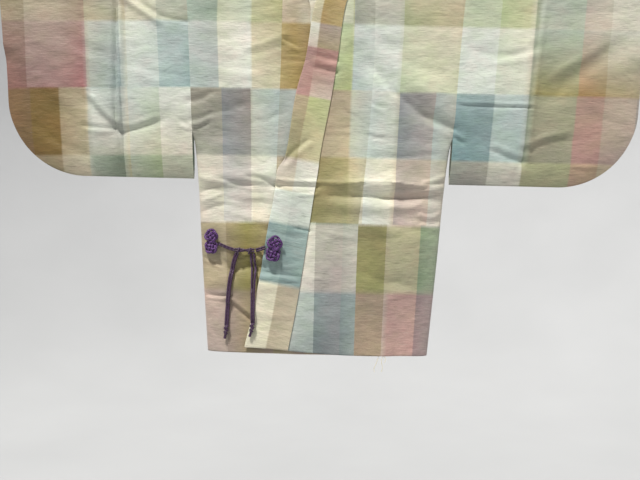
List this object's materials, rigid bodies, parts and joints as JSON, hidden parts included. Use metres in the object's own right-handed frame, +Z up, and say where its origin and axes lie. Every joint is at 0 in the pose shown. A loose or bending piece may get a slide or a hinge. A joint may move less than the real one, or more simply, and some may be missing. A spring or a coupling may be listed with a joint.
{
  "type": "dochugi coat on a kimono hanger",
  "caption": "Wrapped kimono coat with wide bag sleeves, a long collar band and a knotted cord tie, hung closed on a straight rod hanger with a wire hook.",
  "frame": {"origin": "the point where the hanger's hook bears on its rail, midway across the coat", "axes": "+Z up, +X towards the wearer's left along the rod, and the coat's front faces -Y"},
  "size_m": [1.3204, 0.0746, 0.9548],
  "materials": {
    "tsumugi_cloth": "slubbed silk in a soft shaded check, low sheen",
    "silk_cord": "braided silk cord, dark purple",
    "rod_plastic": "satin",
    "hook_wire": "plated wire"
  },
  "bodies": {
    "root": {"body_left": "tsumugi_cloth", "body_right": "tsumugi_cloth", "okumi_left": "tsumugi_cloth", "okumi_right": "tsumugi_cloth", "collar_left": "tsumugi_cloth", "collar_right": "tsumugi_cloth", "sleeve_left": "tsumugi_cloth", "sleeve_right": "tsumugi_cloth", "hanger_rod": "rod_plastic", "hanger_hook": "hook_wire", "ornament_knot_right": "silk_cord", "ornament_knot_left": "silk_cord", "tie_wrap": "silk_cord", "tie_right_a": "silk_cord", "tie_right_b": "silk_cord", "tie_left_a": "silk_cord", "tie_left_b": "silk_cord", "tail_right_a": "silk_cord", "tail_right_b": "silk_cord", "tail_left_inner": "silk_cord", "tail_left_outer": "silk_cord", "end_knot_right": "silk_cord", "end_knot_left": "silk_cord"}
  },
  "joints": []
}
